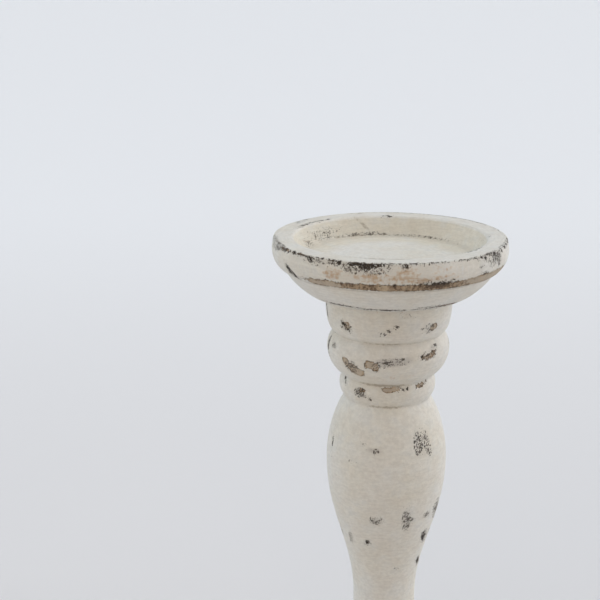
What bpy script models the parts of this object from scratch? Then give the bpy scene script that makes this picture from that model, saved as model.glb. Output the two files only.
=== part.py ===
"""A turned wooden candlestick for a pillar candle.

Three turnings make what shows: a dish with a shallow recess for the candle, a
stem with two beads and a vase, and a domed base. A fluted dowel joins the dish to
the stem. The stem's round tenon sits in the base and a screw holds it from below.
Four felt pads are stuck under the base. Nothing moves.

Metres, +Z up. The turning axis is Z and the floor is z = 0.
"""

import math

import bmesh
import bpy
from mathutils import Vector

# Overall size
HEIGHT = 0.240                 # floor to the top of the rim
DISH_RADIUS = 0.0520
BASE_RADIUS = 0.0572
GAP = 0.0003                   # clearance left between pieces that touch
SIDES = 48                     # facets round a turning
CURVE_STEPS = 7                # straight pieces along each curve of an outline
ROUNDING_STEPS = 3             # straight pieces round each softened corner
SHARP_ANGLE = 35               # degrees between faces that makes an edge sharp

# Outside of the dish, each ring as (radius, drop below the rim's flat face).
# The base repeats it upside down, enlarged to the base's radius.
RIM_FLAT_INSIDE = (0.0484, 0)
RIM_FLAT = (0.0514, 0)
RIM_WIDEST = (DISH_RADIUS, 0.0047)
RIM_EDGE = (0.0466, 0.0134)
BOWL_FOOT = (0.0340, 0.0253)
RIM_ROUNDING = 0.0009
RIM_CURVE = 2.0                # power of a sweep: 2 makes an ellipse, 1 a straight line
BOWL_CURVE = 1.3
BASE_SCALE = BASE_RADIUS / DISH_RADIUS

# Levels of the joints, from the floor up
PAD_THICKNESS = 0.0017
BASE_FOOT = PAD_THICKNESS + GAP
BASE_TOP = BASE_FOOT + BOWL_FOOT[1] * BASE_SCALE
STEM_FOOT = BASE_TOP + GAP
DISH_FOOT = HEIGHT - BOWL_FOOT[1]
STEM_TOP = DISH_FOOT - GAP

# Candle recess
RECESS_DEPTH = 0.0090
RECESS_FLOOR_RADIUS = 0.0380
RECESS_FLOOR_ROUNDING = 0.0030
RECESS_MOUTH_RADIUS = 0.0426

# Stem, each ring as (radius, height above the floor)
NECK = (0.0283, STEM_TOP)
GROOVE_1 = (0.0235, 0.1974)
GROOVE_2 = (0.0197, 0.1776)
GROOVE_3 = (0.0189, 0.1671)
VASE = (0.0274, 0.1370)
WAIST_TOP = (0.0144, 0.0680)
WAIST_FOOT = (0.0144, 0.0600)
FLARE_LIP = 0.0008
FLARE = (0.0330, STEM_FOOT + FLARE_LIP)
NECK_CHAMFER = 0.0004
NECK_CURVE = 2.5
BEAD_1_SWELL = 0.0056
BEAD_2_SWELL = 0.0024
BEAD_FULLNESS = 1.25           # 1 makes a half ellipse, more a narrower bead
# Pairs of points that the vase's shoulder, its taper and the flare bend towards
SHOULDER_HANDLES = ((0.0204, 0.1664), (VASE[0], 0.1542))
TAPER_HANDLES = ((VASE[0], 0.1090), (WAIST_TOP[0], 0.0950))
FLARE_HANDLES = ((WAIST_FOOT[0], 0.0410), (0.0240, 0.0365))

# Dowel between dish and stem
DOWEL_RADIUS = 0.0060
DOWEL_BOTTOM = 0.1902
DOWEL_LENGTH = 0.0340
DOWEL_CHAMFER = 0.0010
FLUTES = 12
FLUTE_DEPTH = 0.0005
DISH_SOCKET_DEPTH = 0.0100
STEM_SOCKET_BOTTOM = 0.1895

# Tenon, screw and washer between stem and base
TENON_RADIUS = 0.0120
TENON_LENGTH = 0.0118
TENON_CHAMFER = 0.0008
SOCKET_FLOOR = STEM_FOOT - TENON_LENGTH - GAP
COUNTERBORE_RADIUS = 0.0103
COUNTERBORE_TOP = 0.0105
SCREW_HOLE_RADIUS = 0.0028
PILOT_TOP = 0.0560
PILOT_TIP = 0.0575
WASHER_RADIUS = 0.0085
WASHER_THICKNESS = 0.0015
WASHER_CHAMFER = 0.0003
WASHER_SIDES = 32
SCREW_CREST_RADIUS = 0.0025
SCREW_ROOT_RADIUS = 0.0017
SCREW_SHANK_RADIUS = 0.0020
SCREW_LENGTH = 0.0450
SCREW_SHANK_LENGTH = 0.0180
SCREW_PITCH = 0.0024
SCREW_TIP_LENGTH = 0.0040
SCREW_TIP_RADIUS = 0.0003
SCREW_SIDES = 12
THREAD_ROWS_PER_TURN = 5
SCREW_HEAD_RADIUS = 0.0048
SCREW_HEAD_HEIGHT = 0.0032
CROWN_STEPS = 5
CROWN_POWER = 0.8              # 1 makes the head half an ellipse, less a flatter pan
SCREW_HEAD_Z = COUNTERBORE_TOP - WASHER_THICKNESS - 2 * GAP
# Each arm of the head's cross recess, as (length, width, height above the crown)
CROSS_MOUTH = (0.0050, 0.0011, -0.0010)
CROSS_BOTTOM = (0.0026, 0.0008, 0.0019)

# Felt pads
PAD_RADIUS = 0.0065
PAD_CIRCLE_RADIUS = 0.0440
PAD_CHAMFER = 0.0003
PAD_SIDES = 24
PADS = 4


# ---------------------------------------------------------------- outlines

def soften(corners):
    """A path of (radius, height, cut) corners, each rounded over its cut length."""
    points = []
    for i, (radius, height, cut) in enumerate(corners):
        corner = Vector((radius, height))
        if cut == 0 or i in (0, len(corners) - 1):
            points.append(tuple(corner))
            continue
        before = Vector(corners[i - 1][:2])
        after = Vector(corners[i + 1][:2])
        start = corner + (before - corner).normalized() * cut
        end = corner + (after - corner).normalized() * cut
        for k in range(ROUNDING_STEPS + 1):
            t = k / ROUNDING_STEPS
            points.append(tuple(start.lerp(corner, t).lerp(corner.lerp(end, t), t)))
    return points


def curve_in(start, end, power):
    """A convex sweep that leaves start straight down and turns in to end."""
    points = []
    for k in range(CURVE_STEPS + 1):
        angle = math.radians(90) * k / CURVE_STEPS
        radius = end[0] + (start[0] - end[0]) * math.cos(angle) ** (2 / power)
        height = start[1] + (end[1] - start[1]) * math.sin(angle) ** (2 / power)
        points.append((radius, height))
    return points


def bead(start, end, swell):
    """A half-round bead between two grooves."""
    points = []
    for k in range(CURVE_STEPS + 1):
        angle = math.radians(180) * k / CURVE_STEPS - math.radians(90)
        t = (math.sin(angle) + 1) / 2
        bulge = swell * math.cos(angle) ** BEAD_FULLNESS
        radius = start[0] + (end[0] - start[0]) * t + bulge
        points.append((radius, start[1] + (end[1] - start[1]) * t))
    return points


def bezier(start, handles, end):
    """A cubic curve from start to end, drawn towards its two handles."""
    points = []
    knots = (start, *handles, end)
    for k in range(CURVE_STEPS + 1):
        t = k / CURVE_STEPS
        weights = ((1 - t) ** 3, 3 * t * (1 - t) ** 2, 3 * t * t * (1 - t), t ** 3)
        points.append(tuple(sum(w * p[i] for w, p in zip(weights, knots)) for i in (0, 1)))
    return points


def joined(*paths):
    """Paths end to end, without the points that repeat."""
    points = []
    for path in paths:
        for point in path:
            if not points or math.dist(point, points[-1]) > 1e-6:
                points.append(point)
    return points


# ---------------------------------------------------------------- objects

def principled(name, colour, roughness, metallic=0.0):
    material = bpy.data.materials.new(name)
    material.use_nodes = True
    shader = material.node_tree.nodes["Principled BSDF"]
    shader.inputs["Base Color"].default_value = (*colour, 1.0)
    shader.inputs["Roughness"].default_value = roughness
    shader.inputs["Metallic"].default_value = metallic
    return material


def add_object(name, bm, material):
    bmesh.ops.recalc_face_normals(bm, faces=bm.faces)
    mesh = bpy.data.meshes.new(name)
    bm.to_mesh(mesh)
    bm.free()
    mesh.shade_smooth()
    mesh.set_sharp_from_angle(angle=math.radians(SHARP_ANGLE))
    mesh.materials.append(material)
    obj = bpy.data.objects.new(name, mesh)
    bpy.context.scene.collection.objects.link(obj)
    return obj


def turned(name, outline, level, material, hollow=False, sides=SIDES):
    """An outline of (radius, height) points spun round Z, standing at its level.

    A solid outline starts and ends on the axis; a hollow one closes on itself.
    """
    bm = bmesh.new()
    verts = [bm.verts.new((radius, 0, height - level)) for radius, height in outline]
    edges = [bm.edges.new(pair) for pair in zip(verts, verts[1:])]
    if hollow:
        edges.append(bm.edges.new((verts[-1], verts[0])))
    bmesh.ops.spin(
        bm, geom=verts + edges, cent=(0, 0, 0), axis=(0, 0, 1),
        angle=math.tau, steps=sides, use_merge=True, use_duplicate=False,
    )
    bmesh.ops.remove_doubles(bm, verts=bm.verts, dist=1e-6)
    obj = add_object(name, bm, material)
    obj.location.z = level
    return obj


def stacked(name, rings, material):
    """A closed body through rings of equally many points, with flat ends."""
    bm = bmesh.new()
    loops = [[bm.verts.new(point) for point in ring] for ring in rings]
    count = len(rings[0])
    for lower, upper in zip(loops, loops[1:]):
        for i in range(count):
            j = (i + 1) % count
            bm.faces.new((lower[i], lower[j], upper[j], upper[i]))
    bm.faces.new(loops[0])
    bm.faces.new(loops[-1])
    return add_object(name, bm, material)


# ---------------------------------------------------------------- pieces

def rim_and_bowl():
    """(radius, drop) from just inside the rim's flat face to the bowl's foot."""
    flat = soften([(*RIM_FLAT_INSIDE, 0), (*RIM_FLAT, RIM_ROUNDING), (*RIM_WIDEST, 0)])
    side = curve_in(RIM_WIDEST, RIM_EDGE, RIM_CURVE)
    bowl = curve_in(RIM_EDGE, BOWL_FOOT, BOWL_CURVE)
    return joined(flat, side, bowl)


def candle_dish(material):
    floor = HEIGHT - RECESS_DEPTH
    socket = DOWEL_RADIUS + GAP
    recess = soften([
        (0, floor, 0),
        (RECESS_FLOOR_RADIUS, floor, RECESS_FLOOR_ROUNDING),
        (RECESS_MOUTH_RADIUS, HEIGHT, RIM_ROUNDING),
        (RIM_FLAT[0], HEIGHT, 0),
    ])[:-1]
    outside = [(radius, HEIGHT - drop) for radius, drop in rim_and_bowl()]
    bottom = [
        (socket, DISH_FOOT),
        (socket, DISH_FOOT + DISH_SOCKET_DEPTH),
        (0, DISH_FOOT + DISH_SOCKET_DEPTH),
    ]
    return turned("candle_dish", joined(recess, outside, bottom), DISH_FOOT, material)


def stem(material):
    socket = DOWEL_RADIUS + GAP
    neck_top = (NECK[0], NECK[1] - NECK_CHAMFER)
    tenon_foot = STEM_FOOT - TENON_LENGTH
    top = [
        (0, STEM_SOCKET_BOTTOM),
        (socket, STEM_SOCKET_BOTTOM),
        (socket, STEM_TOP),
        (NECK[0] - NECK_CHAMFER, STEM_TOP),
    ]
    bottom = [
        (FLARE[0], STEM_FOOT),
        (TENON_RADIUS, STEM_FOOT),
        (TENON_RADIUS, tenon_foot + TENON_CHAMFER),
        (TENON_RADIUS - TENON_CHAMFER, tenon_foot),
        (SCREW_HOLE_RADIUS, tenon_foot),
        (SCREW_HOLE_RADIUS, PILOT_TOP),
        (0, PILOT_TIP),
    ]
    outline = joined(
        top,
        curve_in(neck_top, GROOVE_1, NECK_CURVE),
        bead(GROOVE_1, GROOVE_2, BEAD_1_SWELL),
        bead(GROOVE_2, GROOVE_3, BEAD_2_SWELL),
        bezier(GROOVE_3, SHOULDER_HANDLES, VASE),
        bezier(VASE, TAPER_HANDLES, WAIST_TOP),
        bezier(WAIST_FOOT, FLARE_HANDLES, FLARE),
        bottom,
    )
    return turned("stem", outline, STEM_FOOT, material)


def base(material):
    socket = TENON_RADIUS + GAP
    top = [
        (SCREW_HOLE_RADIUS, SOCKET_FLOOR),
        (socket, SOCKET_FLOOR),
        (socket, BASE_TOP),
    ]
    outside = [
        (radius * BASE_SCALE, BASE_FOOT + drop * BASE_SCALE)
        for radius, drop in reversed(rim_and_bowl())
    ]
    bottom = [
        (COUNTERBORE_RADIUS, BASE_FOOT),
        (COUNTERBORE_RADIUS, COUNTERBORE_TOP),
        (SCREW_HOLE_RADIUS, COUNTERBORE_TOP),
    ]
    outline = joined(top, outside, bottom)
    return turned("base", outline, BASE_FOOT, material, hollow=True)


def dish_dowel(material):
    sides = 3 * FLUTES

    def ring(radius, height):
        points = []
        for i in range(sides):
            reach = radius - (FLUTE_DEPTH if i % 3 == 0 else 0)
            angle = math.tau * i / sides
            points.append((reach * math.cos(angle), reach * math.sin(angle), height))
        return points

    rings = [
        ring(DOWEL_RADIUS - DOWEL_CHAMFER, 0),
        ring(DOWEL_RADIUS, DOWEL_CHAMFER),
        ring(DOWEL_RADIUS, DOWEL_LENGTH - DOWEL_CHAMFER),
        ring(DOWEL_RADIUS - DOWEL_CHAMFER, DOWEL_LENGTH),
    ]
    obj = stacked("dish_dowel", rings, material)
    obj.location.z = DOWEL_BOTTOM
    return obj


def screw_profile():
    """(radius, height, threaded) from the pan head's crown to the point."""
    crown = [
        (
            SCREW_HEAD_RADIUS * math.sin(angle),
            -SCREW_HEAD_HEIGHT * math.cos(angle) ** CROWN_POWER,
            False,
        )
        for angle in (math.radians(90) * k / CROWN_STEPS for k in range(1, CROWN_STEPS))
    ]
    shank = [
        (SCREW_HEAD_RADIUS, 0, False),
        (SCREW_SHANK_RADIUS, 0, False),
        (SCREW_SHANK_RADIUS, SCREW_SHANK_LENGTH, False),
    ]
    thread_length = SCREW_LENGTH - SCREW_TIP_LENGTH - SCREW_SHANK_LENGTH
    rows = round(thread_length / SCREW_PITCH * THREAD_ROWS_PER_TURN)
    thread = []
    for k in range(1, rows + 1):
        height = SCREW_SHANK_LENGTH + thread_length * k / rows
        thread.append((SCREW_ROOT_RADIUS, height, k < rows))
    return crown + shank + thread + [(SCREW_TIP_RADIUS, SCREW_LENGTH, False)]


def base_screw(material):
    rings = []
    for radius, height, threaded in screw_profile():
        ring = []
        for i in range(SCREW_SIDES):
            angle = math.tau * i / SCREW_SIDES
            reach = radius
            if threaded:
                phase = math.tau * height / SCREW_PITCH - angle
                ridge = max(0.0, math.cos(phase)) ** 2
                reach += (SCREW_CREST_RADIUS - SCREW_ROOT_RADIUS) * ridge
            ring.append((reach * math.cos(angle), reach * math.sin(angle), height))
        rings.append(ring)
    obj = stacked("base_screw", rings, material)
    obj.location.z = SCREW_HEAD_Z
    for i in range(2):
        slot = cross_cutter(f"cross_cutter_{i + 1}", material)
        slot.rotation_euler.z = math.radians(90 * i + 45)
        slot.location.z = SCREW_HEAD_Z - SCREW_HEAD_HEIGHT
        cut = obj.modifiers.new(slot.name, "BOOLEAN")
        cut.operation = "DIFFERENCE"
        cut.object = slot
    return obj


def cross_cutter(name, material):
    """One tapered arm of the cross recess in the screw's head."""
    rings = []
    for length, width, height in (CROSS_MOUTH, CROSS_BOTTOM):
        x = length / 2
        y = width / 2
        rings.append([(x, y, height), (-x, y, height), (-x, -y, height), (x, -y, height)])
    cutter = stacked(name, rings, material)
    cutter.display_type = "WIRE"
    cutter.hide_render = True
    return cutter


def screw_washer(material):
    inner = SCREW_HOLE_RADIUS
    top = COUNTERBORE_TOP - GAP
    foot = top - WASHER_THICKNESS
    outline = [
        (inner, top),
        (WASHER_RADIUS - WASHER_CHAMFER, top),
        (WASHER_RADIUS, top - WASHER_CHAMFER),
        (WASHER_RADIUS, foot),
        (inner, foot),
    ]
    return turned("screw_washer", outline, foot, material, hollow=True, sides=WASHER_SIDES)


def felt_pad(name, angle, material):
    outline = [
        (0, PAD_THICKNESS),
        (PAD_RADIUS - PAD_CHAMFER, PAD_THICKNESS),
        (PAD_RADIUS, PAD_THICKNESS - PAD_CHAMFER),
        (PAD_RADIUS, PAD_CHAMFER),
        (PAD_RADIUS - PAD_CHAMFER, 0),
        (0, 0),
    ]
    pad = turned(name, outline, 0, material, sides=PAD_SIDES)
    pad.location.x = PAD_CIRCLE_RADIUS * math.cos(angle)
    pad.location.y = PAD_CIRCLE_RADIUS * math.sin(angle)
    return pad


def build():
    for obj in list(bpy.data.objects):
        bpy.data.objects.remove(obj, do_unlink=True)

    paint = (0.70, 0.64, 0.52)
    beech = principled("beech", (0.55, 0.36, 0.19), 0.6)
    steel = principled("zinc_plated_steel", (0.62, 0.63, 0.64), 0.35, 1.0)
    felt = principled("brown_felt", (0.10, 0.065, 0.045), 0.95)

    pieces = [
        candle_dish(principled("painted_dish", paint, 0.6)),
        stem(principled("painted_stem", paint, 0.6)),
        base(principled("painted_base", paint, 0.6)),
        dish_dowel(beech),
        base_screw(steel),
        screw_washer(steel),
    ]
    for i in range(PADS):
        angle = math.tau * (i + 0.5) / PADS
        pieces.append(felt_pad(f"felt_pad_{i + 1}", angle, felt))

    candlestick = bpy.data.objects.new("candlestick", None)
    bpy.context.scene.collection.objects.link(candlestick)
    for piece in pieces:
        piece.parent = candlestick


build()
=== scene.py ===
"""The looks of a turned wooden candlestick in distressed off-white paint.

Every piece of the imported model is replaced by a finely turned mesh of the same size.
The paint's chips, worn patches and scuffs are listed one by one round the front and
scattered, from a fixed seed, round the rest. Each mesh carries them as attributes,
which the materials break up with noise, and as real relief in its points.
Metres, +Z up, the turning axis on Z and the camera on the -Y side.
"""

import math
from collections import namedtuple

import bmesh
import bpy
import numpy as np
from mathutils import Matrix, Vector, noise


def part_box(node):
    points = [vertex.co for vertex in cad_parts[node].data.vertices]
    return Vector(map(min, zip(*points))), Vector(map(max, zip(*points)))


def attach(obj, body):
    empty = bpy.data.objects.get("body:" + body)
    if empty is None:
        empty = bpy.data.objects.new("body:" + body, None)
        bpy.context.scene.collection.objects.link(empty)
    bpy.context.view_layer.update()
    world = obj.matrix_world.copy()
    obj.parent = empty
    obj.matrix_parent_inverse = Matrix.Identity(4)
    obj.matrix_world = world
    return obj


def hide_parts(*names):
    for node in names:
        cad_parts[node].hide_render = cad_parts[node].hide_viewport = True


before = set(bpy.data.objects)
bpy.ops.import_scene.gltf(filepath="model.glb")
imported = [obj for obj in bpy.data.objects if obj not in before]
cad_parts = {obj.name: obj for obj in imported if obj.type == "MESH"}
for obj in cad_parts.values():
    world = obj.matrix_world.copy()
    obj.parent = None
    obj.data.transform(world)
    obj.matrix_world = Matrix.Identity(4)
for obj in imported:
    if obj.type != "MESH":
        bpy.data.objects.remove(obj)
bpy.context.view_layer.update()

MM = 0.001


# -------- measures

def span(node):
    """A node's outer radius, foot and top."""
    low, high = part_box(node)
    return high[0], low[2], high[2]


DISH_RADIUS, DISH_FOOT, DISH_TOP = span("candle_dish")
BASE_RADIUS, BASE_FOOT, BASE_TOP = span("base")
FLARE_RADIUS, TENON_FOOT, STEM_TOP = span("stem")
DOWEL_RADIUS, DOWEL_FOOT, DOWEL_TOP = span("dish_dowel")
WASHER_RADIUS, WASHER_FOOT, WASHER_TOP = span("screw_washer")
SCREW_HEAD_RADIUS, SCREW_FOOT, SCREW_TOP = span("base_screw")
GAP = 0.3 * MM  # clearance left between pieces that touch

# Outside of the dish, each ring as (radius, drop below the rim's flat face).
# The base repeats it upside down, enlarged to the base's radius.
RIM_FLAT_INSIDE = (48.4 * MM, 0)
RIM_FLAT = (51.4 * MM, 0)
RIM_WIDEST = (DISH_RADIUS, 4.7 * MM)
RIM_EDGE = (46.6 * MM, 13.4 * MM)
BOWL_FOOT = (34 * MM, DISH_TOP - DISH_FOOT)
RIM_ROUNDING = 0.9 * MM
RIM_CURVE = 2.0  # power of a sweep: 2 makes an ellipse, 1 a straight line
BOWL_CURVE = 1.3
BASE_SCALE = BASE_RADIUS / DISH_RADIUS
RECESS_FLOOR = DISH_TOP - 9 * MM
RECESS_FLOOR_RADIUS = 38 * MM
RECESS_FLOOR_ROUNDING = 3 * MM
RECESS_MOUTH_RADIUS = 42.6 * MM

# Stem, each ring as (radius, height)
NECK_CHAMFER = 0.4 * MM
NECK = (28.3 * MM, STEM_TOP - NECK_CHAMFER)
GROOVE_1 = (23.5 * MM, 197.4 * MM)
GROOVE_2 = (19.7 * MM, 177.6 * MM)
GROOVE_3 = (18.9 * MM, 167.1 * MM)
VASE = (27.4 * MM, 137 * MM)
WAIST_TOP = (14.4 * MM, 68 * MM)
WAIST_FOOT = (14.4 * MM, 60 * MM)
STEM_FOOT = BASE_TOP + GAP
FLARE = (FLARE_RADIUS, STEM_FOOT + 0.8 * MM)
NECK_CURVE = 2.5
BEAD_1_SWELL = 5.6 * MM
BEAD_2_SWELL = 2.4 * MM
BEAD_FULLNESS = 1.25  # 1 makes a half ellipse, more a narrower bead
# Pairs of points that the vase's shoulder, its taper and the flare bend towards
SHOULDER_HANDLES = ((20.4 * MM, 166.4 * MM), (VASE[0], 154.2 * MM))
TAPER_HANDLES = ((VASE[0], 109 * MM), (WAIST_TOP[0], 95 * MM))
FLARE_HANDLES = ((WAIST_FOOT[0], 41 * MM), (24 * MM, 36.5 * MM))

# Holes and sockets
DOWEL_HOLE_RADIUS = DOWEL_RADIUS + 0.4 * MM
DISH_SOCKET_TOP = DISH_FOOT + 10 * MM
STEM_SOCKET_FOOT = DOWEL_FOOT - 0.7 * MM
TENON_RADIUS = 12 * MM
SCREW_HOLE_RADIUS = 2.8 * MM
PILOT_TOP = 56 * MM
PILOT_TIP = 57.5 * MM
COUNTERBORE_RADIUS = 10.3 * MM
COUNTERBORE_TOP = WASHER_TOP + GAP

# Dowel, washer and screw
DOWEL_CHAMFER = 1 * MM
FLUTES = 12
FLUTE_DEPTH = 0.5 * MM
FLUTE_POWER = 3  # more makes narrower flutes with wider lands
WASHER_ROUNDING = 0.3 * MM
WASHER_TIGHT_ROUNDING = 0.15 * MM
SCREW_HEAD_HEIGHT = 3.2 * MM
CROWN_STEPS = 13
CROWN_POWER = 0.8  # 1 makes the head half an ellipse, less a flatter pan
SHANK_RADIUS = 2 * MM
SHANK_LENGTH = 18 * MM
ROOT_RADIUS = 1.7 * MM
THREAD_HEIGHT = 0.8 * MM
THREAD_PITCH = 2.4 * MM
THREAD_ROWS = 0.2 * MM
SCREW_TIP_LENGTH = 4 * MM
SCREW_TIP_RADIUS = 0.3 * MM
# Ends of an arm of the cross recess: millimetres long, wide and above the crown
CROSS_MOUTH = (5.0, 1.1, -1.0)
CROSS_BOTTOM = (2.6, 0.8, 1.9)

# How fine the meshes are: facets round each, rows along the outlines, steps in curves
DISH_SIDES = 384
STEM_SIDES = 256
BASE_SIDES = 384
DOWEL_SIDES = 144
WASHER_SIDES = 96
SCREW_SIDES = 48
PAD_SIDES = 72
DISH_ROWS = 0.42 * MM
RECESS_ROWS = 0.6 * MM
STEM_ROWS = 0.7 * MM
BASE_ROWS = 0.5 * MM
PAD_ROWS = 0.35 * MM
TENON_ROWS = 1.6 * MM
SOCKET_ROWS = 2 * MM
DISH_UNDER_ROWS = 1.5 * MM
BASE_UNDER_ROWS = 1.4 * MM
CURVE_STEPS = 40
CORNER_STEPS = 6
SMALL_CORNER_STEPS = 3
SHARP_ANGLE = 50  # degrees between faces that makes an edge sharp
SCREW_SHARP_ANGLE = 35
NEVER_SHARP = 180
# How far the painted shade along a crease spreads
CREASE_WIDTH = 0.55 * MM
# Points nearer than these are taken to be at one place, or on one level
ONE_PLACE = 0.02 * MM
ONE_LEVEL = 0.01 * MM
FACE_ON_LEVEL = 0.05 * MM


# -------- outlines

def soften(corners, steps=CORNER_STEPS):
    """A path of (radius, height, cut) corners, each rounded over its cut length."""
    points = []
    for i, (radius, height, cut) in enumerate(corners):
        corner = Vector((radius, height))
        if cut == 0 or i in (0, len(corners) - 1):
            points.append(tuple(corner))
            continue
        before = Vector(corners[i - 1][:2])
        after = Vector(corners[i + 1][:2])
        start = corner + (before - corner).normalized() * cut
        end = corner + (after - corner).normalized() * cut
        for k in range(steps + 1):
            t = k / steps
            points.append(tuple(start.lerp(corner, t).lerp(corner.lerp(end, t), t)))
    return points


def curve_in(start, end, power):
    """A convex sweep that leaves start straight down and turns in to end."""
    points = []
    for k in range(CURVE_STEPS + 1):
        angle = math.radians(90) * k / CURVE_STEPS
        radius = end[0] + (start[0] - end[0]) * math.cos(angle) ** (2 / power)
        height = start[1] + (end[1] - start[1]) * math.sin(angle) ** (2 / power)
        points.append((radius, height))
    return points


def bead(start, end, swell):
    """A half-round bead between two grooves."""
    points = []
    for k in range(CURVE_STEPS + 1):
        angle = math.radians(180) * k / CURVE_STEPS - math.radians(90)
        t = (math.sin(angle) + 1) / 2
        bulge = swell * math.cos(angle) ** BEAD_FULLNESS
        radius = start[0] + (end[0] - start[0]) * t + bulge
        points.append((radius, start[1] + (end[1] - start[1]) * t))
    return points


def bezier(start, handles, end):
    """A cubic curve from start to end, drawn towards its two handles."""
    points = []
    knots = (start, *handles, end)
    for k in range(CURVE_STEPS + 1):
        t = k / CURVE_STEPS
        weights = ((1 - t) ** 3, 3 * t * (1 - t) ** 2, 3 * t * t * (1 - t), t ** 3)
        points.append(tuple(sum(w * p[i] for w, p in zip(weights, knots)) for i in (0, 1)))
    return points


def lengths_along(outline):
    """How far along the outline each of its points lies."""
    steps = np.hypot(*np.diff(outline, axis=0).T)
    return np.concatenate([[0], np.cumsum(steps)])


def spaced(path, spacing):
    """Points at even steps along a path, ends included."""
    path = np.array(path)
    run = lengths_along(path)
    count = max(1, round(run[-1] / spacing))
    at = np.linspace(0, run[-1], count + 1)
    return np.column_stack([np.interp(at, run, path[:, 0]), np.interp(at, run, path[:, 1])])


def joined(*paths):
    """Evenly spaced stretches end to end, without the points that repeat."""
    points = [paths[0][0]]
    for path in paths:
        points += [p for p in path if math.dist(p, points[-1]) > ONE_PLACE]
    return np.array(points)


def rim_and_bowl():
    """(radius, drop) from inside the rim's flat face, round the rim, to the bowl's foot."""
    flat = soften([(*RIM_FLAT_INSIDE, 0), (*RIM_FLAT, RIM_ROUNDING), (*RIM_WIDEST, 0)])
    side = curve_in(RIM_WIDEST, RIM_EDGE, RIM_CURVE)
    bowl = curve_in(RIM_EDGE, BOWL_FOOT, BOWL_CURVE)
    return flat + side[1:] + bowl[1:]


def dish_outline():
    recess = soften([
        (0, RECESS_FLOOR, 0),
        (RECESS_FLOOR_RADIUS, RECESS_FLOOR, RECESS_FLOOR_ROUNDING),
        (RECESS_MOUTH_RADIUS, DISH_TOP, RIM_ROUNDING),
        (RIM_FLAT_INSIDE[0], DISH_TOP, 0),
    ])
    outside = [(radius, DISH_TOP - drop) for radius, drop in rim_and_bowl()]
    under = [(BOWL_FOOT[0], DISH_FOOT), (DOWEL_HOLE_RADIUS, DISH_FOOT)]
    socket = [under[-1], (DOWEL_HOLE_RADIUS, DISH_SOCKET_TOP), (0, DISH_SOCKET_TOP)]
    return joined(
        spaced(recess, RECESS_ROWS), spaced(outside, DISH_ROWS),
        spaced(under, DISH_UNDER_ROWS), spaced(socket, SOCKET_ROWS),
    )


def stem_outline():
    socket = [
        (0, STEM_SOCKET_FOOT), (DOWEL_HOLE_RADIUS, STEM_SOCKET_FOOT),
        (DOWEL_HOLE_RADIUS, STEM_TOP), (NECK[0] - NECK_CHAMFER, STEM_TOP),
    ]
    outside = (
        curve_in(NECK, GROOVE_1, NECK_CURVE)
        + bead(GROOVE_1, GROOVE_2, BEAD_1_SWELL)[1:]
        + bead(GROOVE_2, GROOVE_3, BEAD_2_SWELL)[1:]
        + bezier(GROOVE_3, SHOULDER_HANDLES, VASE)[1:]
        + bezier(VASE, TAPER_HANDLES, WAIST_TOP)[1:]
        + bezier(WAIST_FOOT, FLARE_HANDLES, FLARE)
    )
    tenon = [
        (FLARE[0], STEM_FOOT), (TENON_RADIUS, STEM_FOOT), (TENON_RADIUS, TENON_FOOT),
        (SCREW_HOLE_RADIUS, TENON_FOOT), (SCREW_HOLE_RADIUS, PILOT_TOP), (0, PILOT_TIP),
    ]
    return joined(
        spaced(socket, SOCKET_ROWS), spaced(outside, STEM_ROWS), spaced(tenon, TENON_ROWS),
    )


def base_outline():
    top = [
        (SCREW_HOLE_RADIUS, TENON_FOOT - GAP), (TENON_RADIUS + GAP, TENON_FOOT - GAP),
        (TENON_RADIUS + GAP, BASE_TOP), (BOWL_FOOT[0] * BASE_SCALE, BASE_TOP),
    ]
    outside = [
        (radius * BASE_SCALE, BASE_FOOT + drop * BASE_SCALE)
        for radius, drop in reversed(rim_and_bowl())
    ]
    under = [
        outside[-1], (COUNTERBORE_RADIUS, BASE_FOOT), (COUNTERBORE_RADIUS, COUNTERBORE_TOP),
        (SCREW_HOLE_RADIUS, COUNTERBORE_TOP), top[0],
    ]
    return joined(
        spaced(top, TENON_ROWS), spaced(outside, BASE_ROWS),
        spaced(under, BASE_UNDER_ROWS)[:-1],
    )


# -------- wear

# A mark lies at an angle round the piece (degrees, 0 towards -Y, positive to the
# camera's right) beside the outline's point nearest (radius, height). Its size is in
# millimetres along and across the turning, before it is tilted. A depth below 1
# weakens it, and one above 1 makes it deepen faster from its edge.
Mark = namedtuple("Mark", "kind angle radius height wide tall tilt depth", defaults=(0, 1.0))

# worn: rubbed through to brown wood. washed: the same under a rest of thin paint.
# deep: darkens worn wood. chip: broken down to the undercoat. pepper, hatch, smear:
# dots, steep streaks and level streaks of undercoat. stain: a warm tint. grime: a soft
# brown line, partly dirt and partly painted shade along grooves and edges. scratch: a
# thin pale line.
KINDS = (
    "worn", "washed", "deep", "chip", "pepper", "hatch", "smear", "stain", "grime_and_shade", "scratch",
)

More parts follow.
